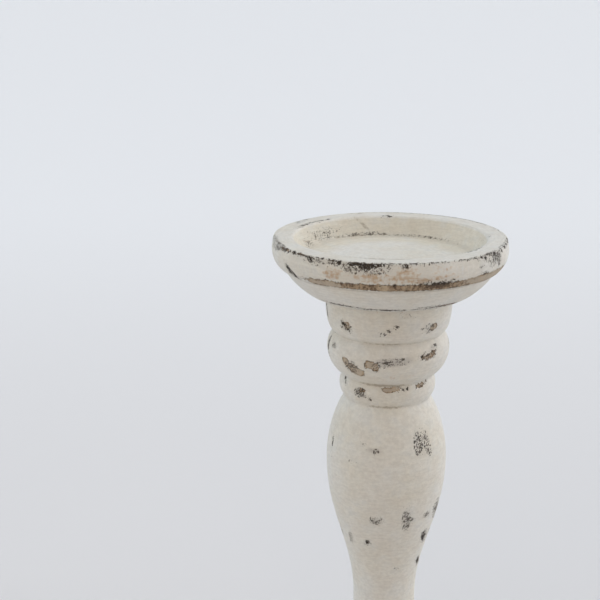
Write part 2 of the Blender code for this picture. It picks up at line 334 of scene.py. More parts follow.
DISH_MARKS = [Mark(*row) for row in (
    # Chips along the rim's upper edge
    ("chip", -13.5, 51.7, 238.5, 8.4, 3.6),
    ("chip", -19, 51.6, 239, 6, 2.4),
    ("chip", -9.6, 51.5, 239.4, 6, 2),
    ("chip", -5, 51.4, 239.8, 8, 1),
    ("chip", 3.6, 51.6, 239, 2.6, 2.2, 0, 0.9),
    ("chip", 8, 51.4, 239.8, 30, 0.8, 0, 0.8),
    ("chip", -27.6, 51.6, 238.9, 2.8, 2.4),
    ("chip", -31, 51.6, 239.2, 3.4, 2.2),
    ("chip", -34, 51.4, 239.8, 6, 0.9),
    ("pepper", -39.5, 51.6, 238.8, 4.4, 3.4, 0, 1.2),
    ("chip", -43, 51.6, 238.6, 3.4, 3, -30, 0.8),
    ("washed", -48.5, 51.5, 239.5, 5.4, 1.6),
    ("chip", -48.8, 51.5, 239.2, 5, 0.7),
    ("chip", -54.8, 51.5, 239.5, 2.8, 1.8, -20),
    ("washed", -60.5, 51.5, 239.6, 4, 1.4),
    ("washed", -67, 51.5, 239.6, 3.4, 1),
    ("hatch", -64, 51.5, 239.3, 13, 3, 0, 1.4),
    ("hatch", -71, 51.5, 239.2, 7, 4.4, 0, 1.2),
    ("pepper", -15.5, 51.8, 237.6, 24, 6.5),
    ("pepper", -40, 51.8, 237.8, 18, 5, 0, 0.5),
    ("smear", -72, 50.7, 240, 14, 2.6),
    ("smear", -86, 50.7, 240, 12, 3, 0, 0.7),
    ("pepper", -76, 51.7, 238, 22, 5, 0, 0.6),
    ("pepper", -84, 50.4, 240, 24, 4, 0, 0.7),
    ("chip", 39, 51.5, 239.4, 6, 0.7, 0, 0.8),
    ("chip", 43.4, 51.6, 239, 2.4, 1.5),
    ("pepper", 45.6, 51.8, 238.2, 6.4, 2.6, -24, 1.6),
    ("chip", 46.4, 51.7, 238.6, 3.4, 0.9, -26),
    ("chip", 49.4, 51.4, 239.8, 8, 0.9),
    ("pepper", 50.4, 51.4, 239.7, 13, 2.6, 0, 1.6),
    ("hatch", 55, 51.7, 238.2, 4.8, 5, 0, 2.2),
    ("chip", 54.6, 51.6, 239, 2, 2.4, 20, 0.9),
    ("hatch", 59, 51.9, 236.6, 4.6, 8.4, 0, 1.2),
    ("pepper", 55, 51.9, 236.8, 16, 8.4, 0, 0.5),
    ("chip", 62.6, 51.4, 239.5, 2.6, 1.8),
    ("chip", 68, 51.4, 239.6, 3, 1.6),
    ("chip", 73, 51.4, 239.6, 3, 2),
    ("chip", 80, 51.4, 239.8, 9, 1.3),
    ("pepper", 70, 51.1, 239.9, 20, 3.6, 0, 1.3),
    ("chip", 146, 50.7, 240, 46, 1, 0, 0.9),
    ("smear", 43.8, 51.8, 235.2, 5, 6.4, 0, 0.3),
    ("chip", 46.6, 51.3, 231.4, 3.4, 1.1, 0, 0.9),
    # The rim's side
    ("worn", 9, 50, 228.9, 98, 4.4),
    ("washed", -36, 49.9, 228.8, 19, 4.4),
    ("washed", 54, 50.3, 229.3, 42, 5),
    ("deep", 19.5, 50.4, 229.6, 15, 4.4, 0, 0.8),
    ("chip", 20, 50.9, 230.6, 13, 1.8),
    ("chip", -60, 51.1, 231, 5, 2.6, -62),
    ("chip", -56, 50.5, 229.6, 4.8, 1.4, -46),
    ("chip", -57, 49.8, 228.4, 5.4, 1.4, -50),
    ("hatch", -56, 50.2, 229, 8, 3.4, -44, 1.2),
    ("stain", -30.5, 51.9, 234, 10, 6, 0, 1.2),
    ("stain", -14, 51.9, 234, 22, 7, 0, 0.7),
    ("stain", 3, 51.9, 235, 16, 9, 0, 0.6),
    ("stain", 17, 51.7, 232.6, 26, 5, 0, 0.9),
    ("stain", -4, 51.9, 234.6, 56, 11, 0, 0.25),
    ("smear", 12, 51.7, 232.8, 24, 2.4, 0, 0.4),
    ("scratch", 22.2, 51.9, 235.6, 1, 8, -8),
    ("scratch", 28.5, 51.9, 236.4, 0.9, 6),
    ("scratch", 31.5, 51.9, 235.6, 1.2, 7),
    ("scratch", 35, 51.9, 236.2, 0.9, 5),
    ("scratch", 56, 51.9, 235, 1, 9, 42),
    # The joint under the bowl
    ("chip", -35, 37.6, 216.7, 14, 1.2),
    ("chip", -8, 36.6, 216, 17, 1.6),
    ("chip", 24, 37, 216.3, 14, 1.3, 0, 0.8),
    ("worn", 36, 37.4, 216.6, 15, 1.8),
    ("pepper", 28, 38.4, 217.4, 22, 3),
    # Inside the recess
    ("pepper", -114, 38.4, 233, 11, 6, 0, 0.4),
    ("pepper", -130, 39.6, 235, 36, 8.6, 0, 0.2),
    ("pepper", -136, 38.6, 233, 22, 3.6, 0, 0.5),
    ("hatch", -138, 39, 233.8, 4, 5, 0, 0.4),
    ("pepper", -166, 38.2, 232.2, 32, 2.4, 0, 1.1),
    ("stain", -116, 38.8, 233.4, 18, 7, 0, 0.3),
    ("pepper", 160, 37.8, 231.9, 40, 2, 0, 1.2),
    # Dark lines along the foot of the recess wall, painted shade in that corner, and a slanted
    # streak on the wall
    ("grime_and_shade", -160, 37.8, 231.8, 46, 1.2, 0, 0.8),
    ("grime_and_shade", 155, 37.4, 231.5, 46, 0.9, 0, 0.7),
    ("grime_and_shade", -165.5, 41, 236.6, 1.6, 9, 42, 0.6),
    ("chip", -121, 43.8, 240, 9, 1),
    ("chip", -131, 43.8, 240, 5, 0.8),
    ("chip", -139, 43.8, 240, 6, 0.9),
    ("chip", 178, 42.8, 239.9, 3.6, 0.8),
    ("chip", 51.5, 43.1, 239.97, 9, 1.1),
    # Painted shade: dark lines along the front of the recess's lip, setting the rim apart from
    # the floor
    ("grime_and_shade", -9, 43.5, 240, 24, 0.9, 0, 1.6),
    ("grime_and_shade", 1.5, 43.5, 240, 9, 1.2, 0, 1.6),
)]
STEM_MARKS = [Mark(*row) for row in (
    # Neck
    ("washed", -45.5, 27.6, 203.9, 5, 3.6, -30),
    ("chip", -48.5, 27.8, 205.2, 3, 1.8, -30),
    ("chip", -42, 27.4, 203.1, 2.8, 1.4, -55),
    ("pepper", -45.5, 27.6, 203.8, 8, 5),
    ("chip", 3.2, 27.8, 206.3, 1.7, 1.4, -30, 1.4),
    ("chip", -3.1, 27.5, 204, 1.4, 1.2, 0, 1.4),
    ("hatch", -8.5, 27.3, 202.8, 4, 2.2),
    ("washed", 41, 27.6, 204.4, 4, 3.2, 8, 1.6),
    ("hatch", 35.5, 27.6, 204.3, 8.6, 5, 0, 0.8),
    ("smear", 36.5, 27.6, 204.3, 6.4, 3.6, 0, 0.5),
    ("pepper", 13, 28.2, 211.5, 12, 4, 0, 0.3),
    ("stain", -14, 28.2, 213, 24, 2.2, 0, 0.9),
    ("chip", -80, 28, 208, 1.8, 7, 8),
    # Large bead
    ("chip", -80, 27.2, 191.8, 2.2, 8),
    ("washed", -45.5, 27.2, 187.4, 5.4, 3, -58, 1.6),
    ("washed", -36, 26.7, 184.8, 8, 4.4, -26, 1.6),
    ("hatch", -40, 27, 186.4, 8, 6, 0, 1.2),
    ("washed", -18, 27.3, 188.2, 6.4, 3.2, -14, 2.4),
    ("hatch", -13, 27.3, 187.9, 7.4, 3.4, 0, 0.7),
    ("smear", 2, 27.3, 190.5, 18, 4.6, 4),
    ("smear", 9, 27.3, 190.6, 8, 3, 4),
    ("washed", 37, 27.3, 191.4, 7.4, 2.6, 10),
    ("chip", 37, 27.3, 192.4, 6.4, 0.8, 10, 0.8),
    ("smear", 46, 26.6, 194.9, 6.4, 2.6, 6, 1.2),
    ("pepper", -66, 26.6, 193, 5, 4),
    ("pepper", 36, 27.3, 191.4, 11, 4.6, 0, 0.8),
    ("stain", 8, 25.6, 183, 12, 3, 0, 0.5),
    # Small bead
    ("chip", -67, 20.9, 176.6, 3.4, 0.9, -40),
    ("hatch", -37, 21.5, 172.9, 7, 5, 0, 3),
    ("smear", -38, 21.5, 173.2, 5.6, 3.4, 0, 0.6),
    ("washed", -34, 21.4, 174.6, 4.2, 1.4, 16),
    ("chip", -24.5, 21.5, 171.2, 1.8, 1.5, 0, 0.8),
    ("washed", 1, 20.9, 175.9, 8.8, 1.9, 0, 2),
    ("chip", 15.5, 21.2, 175.9, 1.1, 0.9, 0, 1.3),
    ("chip", 20.5, 21.2, 176, 1, 0.9, 0, 1.3),
    ("washed", 42, 20.9, 176.3, 5.6, 1.3, 12, 2),
    ("smear", 42, 20.9, 176.3, 6, 1.4, 12, 0.5),
    # Painted shade: dark lines along the grooves
    ("grime_and_shade", -4, 23.5, 197.4, 16, 0.6, 0, 1.4),
    ("grime_and_shade", -6, 19.7, 177.6, 20, 1, 0, 2),
    ("grime_and_shade", -6, 18.9, 167.1, 16, 0.8, 0, 1.4),
    # Vase
    ("chip", -69.5, 26.6, 146.8, 1.1, 4.6, 4),
    ("hatch", 29.4, 25.6, 151.2, 4.8, 11, -4, 3),
    ("hatch", 38, 25.6, 151, 7, 13, 4, 0.4),
    ("hatch", 42.5, 26.6, 146, 3, 5, -20, 1.2),
    ("chip", -13.5, 26.3, 148.3, 2.4, 1.1, 0, 0.8),
    ("smear", -16, 26.2, 148.9, 8, 2.4),
    ("pepper", -37, 27.1, 143, 7, 3, 0, 0.4),
    ("pepper", -28, 25, 151, 5, 3, 0, 0.5),
)]
BASE_MARKS = [Mark(*row) for row in (
    ("worn", -20, 54.2, 13.2, 96, 4.6),
    ("hatch", 8, 44, 26, 16, 6, 0, 1.3),
    ("pepper", 8, 44, 26, 26, 9),
    ("hatch", -34, 46, 24.6, 14, 5),
    ("pepper", 0, 54.6, 14.6, 120, 4, 0, 0.8),
)]


def scattered(rng, count, places, angles, kinds, wide, tall):
    """Marks at random on the given (radius, height) places, each in a halo of specks."""
    marks = []
    for _ in range(count):
        radius, height = places[rng.integers(len(places))]
        angle = rng.uniform(*angles)
        size = rng.uniform(0.5, 1.2) ** 2
        width = rng.uniform(*wide) * size
        length = rng.uniform(*tall) * size
        tilt = rng.uniform(-40, 40)
        kind = kinds[rng.integers(len(kinds))]
        marks.append(Mark(kind, angle, radius, height, width, length, tilt))
        halo = rng.uniform(1.5, 2.6)
        aside = math.degrees(rng.uniform(-0.5, 0.5) * width / radius)
        marks.append(Mark(
            "pepper", angle + aside, radius, height, width * halo, length * halo, tilt,
            rng.uniform(0.3, 0.9),
        ))
    return marks


def far_side_marks():
    """Marks for the dish, stem and base where the lists above have few or none."""
    rng = np.random.default_rng(24)
    back = (95, 265)
    all_round = (-180, 180)
    mixed = ("chip", "hatch", "washed", "smear", "hatch")
    dark = ("hatch", "chip", "smear", "hatch", "pepper")
    rim_edge = [(51.8, 238.2), (51.9, 237.6)]
    rim_side = [(50.2, 228.9), (51.8, 234), (51.9, 236)]
    dish = scattered(rng, 18, rim_edge, back, ("chip", "chip", "washed"), (3, 14), (0.9, 2.6))
    dish += scattered(rng, 14, rim_side, back, mixed, (3, 10), (1.4, 4.4))
    dish += scattered(rng, 8, rim_side, back, ("stain",), (6, 20), (3, 7))
    rim_top = 239.4
    dish = [mark._replace(tall=min(mark.tall, 2 * (rim_top - mark.height))) for mark in dish]
    recess = [(39.5, 234.5), (40.8, 237), (38, 231.9), (30, 231), (43.6, 240)]
    dish += scattered(rng, 12, recess, (-100, 110), ("pepper", "smear"), (2, 7), (0.8, 2))
    dish.append(Mark("worn", 172, 50, 228.8, 84, 4.4))
    dish.append(Mark("deep", 196, 50.2, 229, 16, 4.4))
    swells = [(27.7, 205), (27.3, 190.5), (26.8, 185.5), (21.5, 172.6), (20.9, 176.4)]
    stem = scattered(rng, 26, swells, (94, 266), mixed, (2, 9), (1.4, 5))
    vase = [(24, 157.6), (26.6, 146), (27.4, 136), (26.6, 122), (24, 109)]
    stem += scattered(rng, 15, vase, back, dark, (1.4, 5), (2.5, 11))
    lower = [(27.2, 128), (25.4, 115), (21.8, 102), (17.4, 88), (14.6, 72)]
    stem += scattered(rng, 24, lower, all_round, dark, (1.4, 5), (2, 11))
    flare = [(15.6, 47), (20, 40), (26, 35.4), (32.6, 31.4)]
    stem += scattered(rng, 18, flare, all_round, mixed, (3, 10), (1.4, 4.4))
    shoulder = [(37.6, 29.7), (43, 26.4), (54.4, 13.6), (56.6, 9.6), (57, 3)]
    base = scattered(rng, 40, shoulder, all_round, mixed, (3, 14), (1.4, 5))
    base.append(Mark("worn", 150, 54.2, 13.2, 110, 4.4))
    base.append(Mark("deep", 130, 54.4, 13.4, 30, 4.4))
    return dish, stem, base


def smoothstep(low, high, value):
    t = np.clip((value - low) / (high - low), 0, 1)
    return t * t * (3 - 2 * t)


# A field says how many millimetres a point lies inside a mark's edge, within these
OUTSIDE, INSIDE = -2.0, 3.0
WEAK_MARK_SHRINKS = 0.3  # millimetres, for a mark whose depth is 0


def wear_fields(outline, angles, marks):
    """For each kind of mark, over (ring, side), the millimetres inside its edge."""
    along = lengths_along(outline) / MM
    fields = {kind: np.full((len(outline), len(angles)), OUTSIDE) for kind in KINDS}
    for mark in marks:
        target = np.array([mark.radius, mark.height]) * MM
        ring = np.argmin(np.hypot(*(outline - target).T))
        turn = (angles - math.radians(mark.angle) + math.pi) % math.tau - math.pi
        u = (turn * mark.radius)[None, :]
        v = (along[ring] - along)[:, None]
        tilt = math.radians(mark.tilt)
        across = np.abs(u * math.cos(tilt) + v * math.sin(tilt)) * 2 / mark.wide
        up = np.abs(v * math.cos(tilt) - u * math.sin(tilt)) * 2 / mark.tall
        inside = (1 - np.sqrt(across ** 3 + up ** 2)) * min(mark.wide, mark.tall) / 2
        value = np.clip(np.where(inside > 0, inside * mark.depth, inside), OUTSIDE, INSIDE)
        value = value - max(0, 1 - mark.depth) * WEAK_MARK_SHRINKS
        fields[mark.kind] = np.maximum(fields[mark.kind], value)
    return fields


# -------- meshes

def noise_at(points, scale, seed):
    """Fractal noise from about -1 to 1 at each point, features about 1/scale metres."""
    shift = Vector((seed * 1.7, seed * 3.1, seed * 0.9))
    return np.array([noise.fractal(Vector(p) * scale + shift, 0.8, 2.0, 2) for p in points])


def link(name, mesh, materials):
    for material in materials:
        mesh.materials.append(material)
    obj = bpy.data.objects.new(name, mesh)
    bpy.context.scene.collection.objects.link(obj)
    return obj


def set_attribute(mesh, name, values):
    attribute = mesh.attributes.new(name, "FLOAT", "POINT")
    attribute.data.foreach_set("value", np.asarray(values, dtype=np.float32))


def turn_angles(sides):
    return np.arange(sides) / sides * math.tau


def spun(outline, angles, swell=0):
    """An outline's rings of points, shape (ring, side, 3), their radii enlarged by swell."""
    radius = outline[:, :1] + swell
    height = np.repeat(outline[:, 1:], len(angles), axis=1)
    return np.stack([radius * np.cos(angles), radius * np.sin(angles), height], axis=-1)


def is_pole(ring):
    """Whether a ring has shrunk to a point."""
    return np.ptp(ring[:, :2], axis=0).max() < 1e-7


def revolve(name, rings, materials, closed=False, sharp=SHARP_ANGLE):
    """A mesh through rings of points, whose ends may be poles, and its layout."""
    count, sides = rings.shape[:2]
    poles = [is_pole(rings[0]), is_pole(rings[-1])]
    first = 1 if poles[0] else 0
    last = count - 1 if poles[1] else count
    points = rings[first:last].reshape(-1, 3).tolist()
    rows = last - first
    faces = []
    for i in range(rows if closed else rows - 1):
        a = i * sides
        b = ((i + 1) % rows) * sides
        for j in range(sides):
            k = (j + 1) % sides
            faces.append((a + j, b + j, b + k, a + k))
    if poles[0]:
        pole = len(points)
        points.append(rings[0, 0].tolist())
        faces += [(pole, j, (j + 1) % sides) for j in range(sides)]
    if poles[1]:
        pole = len(points)
        points.append(rings[-1, 0].tolist())
        a = (rows - 1) * sides
        faces += [(pole, a + (j + 1) % sides, a + j) for j in range(sides)]
    mesh = bpy.data.meshes.new(name)
    mesh.from_pydata(points, [], faces)
    mesh.update()
    mesh.shade_smooth()
    mesh.set_sharp_from_angle(angle=math.radians(sharp))
    return link(name, mesh, materials), (first, last, poles)


def on_points(field, layout):
    """A (ring, side) field in the order of revolve()'s points."""
    first, last, poles = layout
    values = [field[first:last].ravel()]
    if poles[0]:
        values.append([field[0].mean()])
    if poles[1]:
        values.append([field[-1].mean()])
    return np.concatenate(values)


def outline_normals(outline):
    """Unit normals to the left of the outline's run, which is outwards."""
    run = np.gradient(outline, axis=0)
    length = np.maximum(np.hypot(run[:, 0], run[:, 1]), 1e-9)
    return np.column_stack([-run[:, 1], run[:, 0]]) / length[:, None]


# Relief in millimetres: the paint lies inside the outline, in waves, lumps and grain,
# and sinks where it is lost
PAINT_INSET = 0.16
WAVES = 0.10
LUMPS = 0.04
GRAIN = 0.02
LOST_PAINT = 0.16
SCUFFS = 0.06
SCRATCH_RIDGE = 0.10


def paint_relief(points, fields, seed):
    """How far, in millimetres and never above 0, each point of the paint is moved."""
    flat = points.reshape(-1, 3)
    shape = points.shape[:2]
    waves = noise_at(flat, 28, seed).reshape(shape)
    lumps = noise_at(flat, 190, seed + 5).reshape(shape)
    grain = noise_at(flat, 800, seed + 9).reshape(shape)
    ragged = lumps * 0.3 + grain * 0.7
    rubbed = np.maximum(fields["worn"], fields["washed"])
    lost = smoothstep(-0.2, 0.6, rubbed + ragged * 0.4)
    lost = np.maximum(lost, smoothstep(-0.2, 0.6, fields["chip"] + ragged * 0.6))
    scuffed = smoothstep(0.0, 1.0, np.maximum(fields["hatch"], fields["pepper"]) + grain)
    relief = WAVES * waves - PAINT_INSET + LUMPS * lumps + GRAIN * grain
    relief -= LOST_PAINT * lost + SCUFFS * scuffed
    relief += SCRATCH_RIDGE * smoothstep(-0.2, 0.4, fields["scratch"])
    return np.minimum(relief, 0)


def turned_piece(name, outline, sides, marks, painted, tones, materials, seed, closed=False):
    """A painted turning: its outline spun with hand-turned unevenness and worn paint.

    painted and the attributes in tones have one value for each point of the outline.
    """
    angles = turn_angles(sides) - math.radians(90)
    fields = wear_fields(outline, angles + math.radians(90), marks)
    rings = spun(outline, angles)
    relief = paint_relief(rings, fields, seed) * painted[:, None] * MM
    normals = outline_normals(outline)
    outwards = np.stack([np.cos(angles), np.sin(angles), np.zeros(sides)], axis=-1)
    rings += relief[..., None] * (
        normals[:, 0][:, None, None] * outwards[None, :, :]
        + normals[:, 1][:, None, None] * np.array([0, 0, 1.0])
    )
    obj, layout = revolve(name, rings, materials, closed)
    for kind, field in fields.items():
        set_attribute(obj.data, kind, on_points(field, layout))
    for tone, values in tones.items():
        field = np.repeat(values[:, None], sides, axis=1)
        set_attribute(obj.data, tone, on_points(field, layout))
    return obj


def near(outline, targets, width=CREASE_WIDTH):
    """1 at the outline's points nearest the targets, falling off over width."""
    value = np.zeros(len(outline))
    for target in targets:
        gap = np.hypot(*(outline - np.array(target)).T)
        value = np.maximum(value, np.exp(-(gap / width) ** 2))
    return value


def soften_grooves(outline, targets, reach):
    """Fills the outline's tight grooves a little, as paint does."""
    weight = near(outline, targets, reach)[1:-1, None] * 0.5
    smooth = outline.copy()
    for _ in range(6):
        middle = (smooth[:-2] + smooth[2:]) / 2
        smooth[1:-1] += (middle - smooth[1:-1]) * weight
    return smooth


# -------- materials

class Nodes:
    """A material's node tree, built with short calls."""

    def __init__(self, name):
        self.material = bpy.data.materials.new(name)
        self.material.use_nodes = True
        self.tree = self.material.node_tree
        self.shader = self.tree.nodes["Principled BSDF"]

    def put(self, socket, value):
        if isinstance(value, bpy.types.NodeSocket):
            self.tree.links.new(value, socket)
        elif isinstance(value, (tuple, list)) and socket.type == "RGBA":
            socket.default_value = (*value, 1.0)
        else:
            socket.default_value = value

    def set(self, name, value):
        """Links a texture to the shader's socket, or sets a number or colour on it."""
        self.put(self.shader.inputs[name], value)

    def node(self, kind, inputs=(), **settings):
        made = self.tree.nodes.new("ShaderNode" + kind)
        for key, value in settings.items():
            setattr(made, key, value)
        for socket, value in dict(inputs).items():
            self.put(made.inputs[socket], value)
        return made

    def math(self, operation, a, b=0.0):
        return self.node("Math", {0: a, 1: b}, operation=operation).outputs[0]

    def plus(self, first, *others):
        for other in others:
            first = self.math("ADD", first, other)
        return first

    def minus(self, a, b):
        return self.math("SUBTRACT", a, b)

    def times(self, a, b):
        return self.math("MULTIPLY", a, b)

    def most(self, a, b):
        return self.math("MAXIMUM", a, b)

    def swing(self, value, size):
        """Noise about 0.5 made into noise to and fro about 0."""
        return self.times(self.minus(value, 0.5), size)

    def attribute(self, name):
        return self.node("Attribute", attribute_name=name).outputs["Fac"]

    def place(self):
        return self.node("TexCoord").outputs["Object"]

    def noise(self, vector, scale, detail=3.0, rough=0.55):
        inputs = {"Vector": vector, "Scale": scale, "Detail": detail, "Roughness": rough}
        return self.node("TexNoise", inputs).outputs["Fac"]

    def stretched(self, vector, lengths, turn=(0, 0, 0)):
        """Coordinates whose textures come out longer along each (turned) axis."""
        inputs = {"Vector": vector, "Scale": lengths, "Rotation": turn}
        return self.node("Mapping", inputs, vector_type="TEXTURE").outputs["Vector"]

    def step(self, value, low, high, to_low=0.0, to_high=1.0):
        inputs = {0: value, 1: low, 2: high, 3: to_low, 4: to_high}
        made = self.node("MapRange", inputs, interpolation_type="SMOOTHSTEP", clamp=True)
        return made.outputs["Result"]

    def mix(self, factor, a, b, blend="MIX"):
        made = self.node("Mix", data_type="RGBA", blend_type=blend, clamp_factor=True)
        self.put(made.inputs[0], factor)
        self.put(made.inputs[6], a)
        self.put(made.inputs[7], b)
        return made.outputs[2]

    def bump(self, height, distance, strength):
        inputs = {"Height": height, "Distance": distance, "Strength": strength}
        self.set("Normal", self.node("Bump", inputs).outputs["Normal"])

    def rings(self, vector):
        """Coordinates that change slowly round the turning and fast along its outline."""
        x, y, z = self.node("SeparateXYZ", {0: vector}).outputs
        square = self.plus(self.times(x, x), self.times(y, y))
        radius = self.plus(self.math("SQRT", square), 0.001)
        inputs = {
            0: self.times(self.math("DIVIDE", x, radius), 0.008),
            1: self.times(self.math("DIVIDE", y, radius), 0.008),
            2: self.plus(z, radius),
        }
        return self.node("CombineXYZ", inputs).outputs[0]


WHITE = (0.755, 0.745, 0.71)
AGED = (0.69, 0.645, 0.535)
PEACH = (0.53, 0.395, 0.275)
COOL = (0.66, 0.67, 0.675)
SCRATCHED = (0.74, 0.745, 0.74)
SCUFFED = (0.33, 0.305, 0.3)
# Dirt, and also painted shade in creases and grooves
DIRT_AND_SHADE = (0.25, 0.2, 0.14)
UNDERCOAT = (0.02, 0.018, 0.018)
WOOD = (0.42, 0.31, 0.205)
WOOD_PALE = (0.55, 0.44, 0.315)
WOOD_DARK = (0.11, 0.07, 0.045)
WOOD_WASHED = (0.52, 0.455, 0.375)
WOOD_DEEP = (0.075, 0.045, 0.028)
# A ground, what varies over it, and the flecks on top
BARE_WOOD = ((0.42, 0.285, 0.17), (0.3, 0.19, 0.105), (0.13, 0.08, 0.045))
BEECH = ((0.56, 0.375, 0.215), (0.45, 0.285, 0.15), (0.26, 0.145, 0.07))
ZINC = ((0.62, 0.63, 0.64), (0.47, 0.48, 0.47))
WOOL = ((0.045, 0.03, 0.022), (0.15, 0.105, 0.078), (0.2, 0.15, 0.115))

# The noises that the layers of distressed paint share
Patterns = namedtuple("Patterns", "place large blotch fine tiny brushed steep along grain")


def paint_patterns(n):
    place = n.place()
    along = n.stretched(place, (1, 1, 7))
    slanted = n.stretched(place, (1, 1, 3.5), (0, 0.7, 0))
    return Patterns(
        place=place,
        large=n.noise(place, 38, 2),
        blotch=n.noise(place, 130, 4, 0.6),
        fine=n.noise(place, 700, 4, 0.65),
        tiny=n.noise(place, 1900, 3, 0.6),
        brushed=n.noise(n.rings(place), 900, 3, 0.6),
        steep=n.noise(slanted, 1800, 2, 0.5),
        along=along,
        grain=n.noise(along, 900, 5, 0.65),
    )


def paint_layer(n, seen):
    """Mottled white, yellower where it has aged, with stains, dirt, scratches and painted shade
    in creases.
    """
    paint = n.mix(n.step(seen.large, 0.38, 0.72, 0.0, 0.35), WHITE, AGED)
    paint = n.mix(n.attribute("aged"), paint, AGED)
    paint = n.mix(n.step(seen.blotch, 0.5, 0.72, 0.0, 0.3), paint, COOL)
    cloud = n.plus(
        n.times(seen.blotch, 0.3), n.times(seen.fine, 0.45), n.times(seen.brushed, 0.25),
    )
    density = n.step(n.attribute("stain"), -1.8, 2.2)
    least = n.minus(0.6, n.times(density, 0.19))
    stain = n.step(n.minus(cloud, least), 0.0, 0.17)
    paint = n.mix(n.times(stain, n.step(density, 0.0, 0.15)), paint, PEACH)
    paint = n.mix(n.step(seen.blotch, 0.6, 0.36, 0.0, 0.1), paint, PEACH)
    streaks = n.step(seen.brushed, 0.35, 0.65, 0.95, 1.03)
    speckle = n.step(seen.fine, 0.3, 0.7, 0.95, 1.04)
    shade = n.times(streaks, speckle)
    grey = n.node("CombineColor", {0: shade, 1: shade, 2: shade}).outputs[0]
    paint = n.mix(1.0, paint, grey, "MULTIPLY")
    # Painted shade: darker along creases and grooves, in the colour of dirt; grime lines add
    # dirt and more painted shade
    crease = n.times(n.attribute("crease"), n.step(seen.blotch, 0.35, 0.6, 0.35, 1.0))
    grime_and_shade = n.step(n.plus(n.attribute("grime_and_shade"), n.swing(seen.fine, 3.0)), -0.3, 0.6, 0.0, 0.6)
    paint = n.mix(n.most(n.times(crease, 0.5), grime_and_shade), paint, DIRT_AND_SHADE)
    scratch = n.plus(n.attribute("scratch"), n.swing(seen.fine, 1.0))
    return n.mix(n.step(scratch, -0.1, 0.4, 0.0, 0.8), paint, SCRATCHED)


def wood_layer(n, seen):
    """Grain along the stem, with darker pores and lines and a rest of thin paint."""
    wood = n.mix(n.step(seen.grain, 0.36, 0.62), WOOD_DARK, WOOD)
    wood = n.mix(n.step(n.noise(seen.along, 260, 3), 0.45, 0.75), wood, WOOD_PALE)
    rest = n.plus(n.attribute("washed"), n.swing(seen.fine, 4.0))
    wood = n.mix(n.step(rest, 0.0, 0.8, 0.0, 0.75), wood, WOOD_WASHED)
    deep = n.plus(n.attribute("deep"), n.swing(seen.steep, 5.0))
    return n.mix(n.step(deep, -0.2, 1.2, 0.0, 0.85), wood, WOOD_DEEP)


def rubbed_areas(n, seen):
    """Where the paint is rubbed off, and where the undercoat is gone too."""
    washed = n.swing(n.noise(seen.place, 300, 2, 0.5), 3.6)
    washed = n.plus(n.attribute("washed"), washed)
    rubbed = n.most(n.attribute("worn"), washed)
    rubbed = n.plus(rubbed, n.swing(seen.fine, 2.6), n.swing(seen.tiny, 2.4))
    bared = n.plus(rubbed, n.swing(n.noise(seen.place, 1150, 2, 0.5), 4.0))
    return n.step(rubbed, -0.1, 0.1), n.step(bared, 0.1, 0.4)


def spots(n, kind, texture):
    """Specks of undercoat, denser towards the middle of a mark."""
    density = n.step(n.attribute(kind), -0.7, 0.9)
    crowded = n.step(n.attribute(kind), 0.9, 2.4)
    least = n.minus(0.68, n.plus(n.times(density, 0.17), n.times(crowded, 0.04)))
    over = n.minus(texture, least)
    return n.times(n.step(over, 0.0, 0.05), n.step(density, 0.0, 0.12))


def undercoat_specks(n, seen):
    """Where the undercoat shows in dots, streaks and chips."""
    dots = n.plus(n.times(seen.tiny, 0.65), n.times(seen.fine, 0.45), -0.05)
    level = n.plus(n.times(seen.brushed, 0.55), n.times(seen.tiny, 0.55), -0.05)
    upright = n.plus(n.times(seen.steep, 0.95), n.times(seen.tiny, 0.15), -0.05)
    streaks = n.most(spots(n, "hatch", upright), spots(n, "smear", level))
    specks = n.most(spots(n, "pepper", dots), streaks)
    chip = n.math("MINIMUM", n.attribute("chip"), 1.1)
    chip = n.plus(chip, n.swing(seen.fine, 5.2), n.swing(seen.tiny, 5.4))
    return n.most(n.times(specks, 0.88), n.step(chip, -0.05, 0.2))


def painted_wood():
    """Off-white chalk paint over a dark undercoat over brown wood."""
    n = Nodes("distressed_paint")
    seen = paint_patterns(n)
    rubbed, bare = rubbed_areas(n, seen)
    specks = undercoat_specks(n, seen)
    greyed = n.most(
        n.step(n.attribute("hatch"), -0.4, 1.2, 0.0, 0.12),
        n.step(n.attribute("smear"), -0.4, 1.2, 0.0, 0.3),
    )
    paint = n.mix(greyed, paint_layer(n, seen), SCUFFED)
    undercoat = n.mix(n.step(seen.tiny, 0.45, 0.65, 0.0, 0.22), UNDERCOAT, WOOD)
    border = n.mix(n.step(n.attribute("washed"), -0.6, 0.3, 0.0, 0.45), undercoat, WOOD)
    colour = n.mix(rubbed, paint, border)
    colour = n.mix(n.times(rubbed, bare), colour, wood_layer(n, seen))
    n.set("Base Color", n.mix(specks, colour, undercoat))

    lost = n.most(rubbed, specks)
    rough = n.step(lost, 0.0, 1.0, 0.52, 0.72)
    n.set("Roughness", n.plus(rough, n.times(seen.fine, 0.12)))
    n.set("Specular IOR Level", 0.38)
    surface = n.plus(
        n.times(seen.fine, 0.5), n.times(seen.blotch, 0.9),
        n.times(seen.brushed, 0.35), n.times(seen.tiny, 0.2),
    )
    sunk = n.times(lost, n.plus(0.9, n.times(seen.grain, 0.5)))
    n.bump(n.minus(surface, sunk), 0.00022, 0.8)
    return n.material


